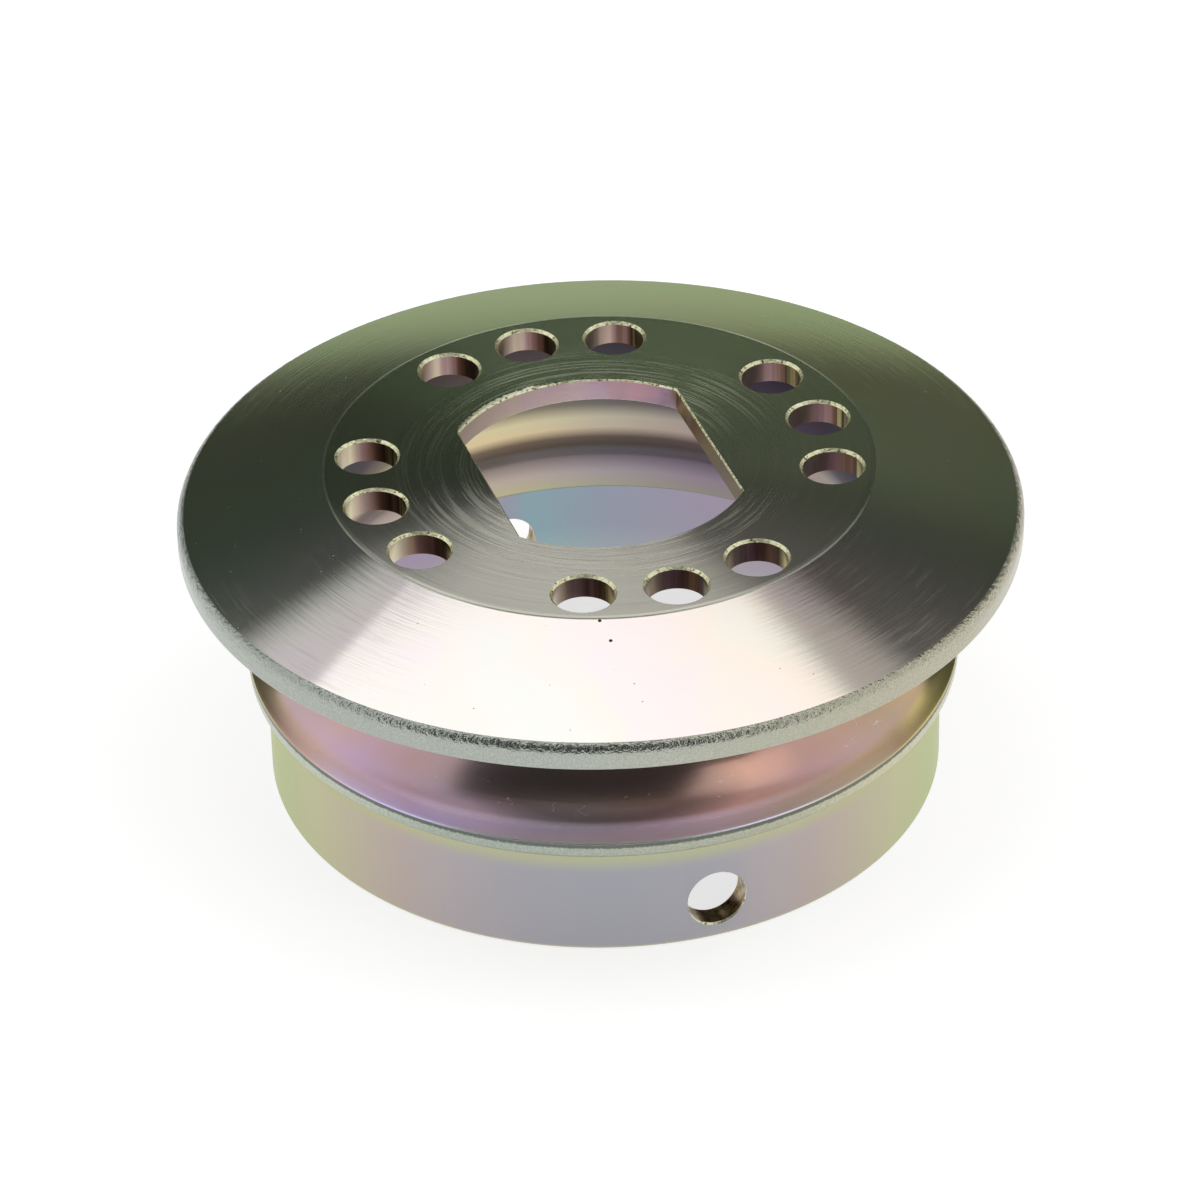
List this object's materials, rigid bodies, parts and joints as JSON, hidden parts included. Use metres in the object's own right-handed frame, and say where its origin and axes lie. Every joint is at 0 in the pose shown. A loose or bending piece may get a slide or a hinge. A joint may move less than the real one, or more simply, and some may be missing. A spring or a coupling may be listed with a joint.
{
  "type": "alternator pulley half",
  "caption": "Half of a split V-belt alternator pulley: belt cone round a flat shim face with a double-D drive bore and peg holes, necked waist, seating lip and open skirt.",
  "frame": {"origin": "centre of the double-D drive bore, on the turning axis, in the plane of the flat shim face", "axes": "+Z along the turning axis, out of the shim face and away from the skirt; +X square to the bore's two flats; +Y in line with the flats and with the two side holes of the skirt"},
  "size_m": [0.11, 0.11, 0.0452],
  "materials": {
    "zinc_steel": "turned steel, zinc plated, with a glossy yellow, green and violet passivation"
  },
  "bodies": {
    "root": {"pulley_half": "zinc_steel"}
  },
  "joints": []
}
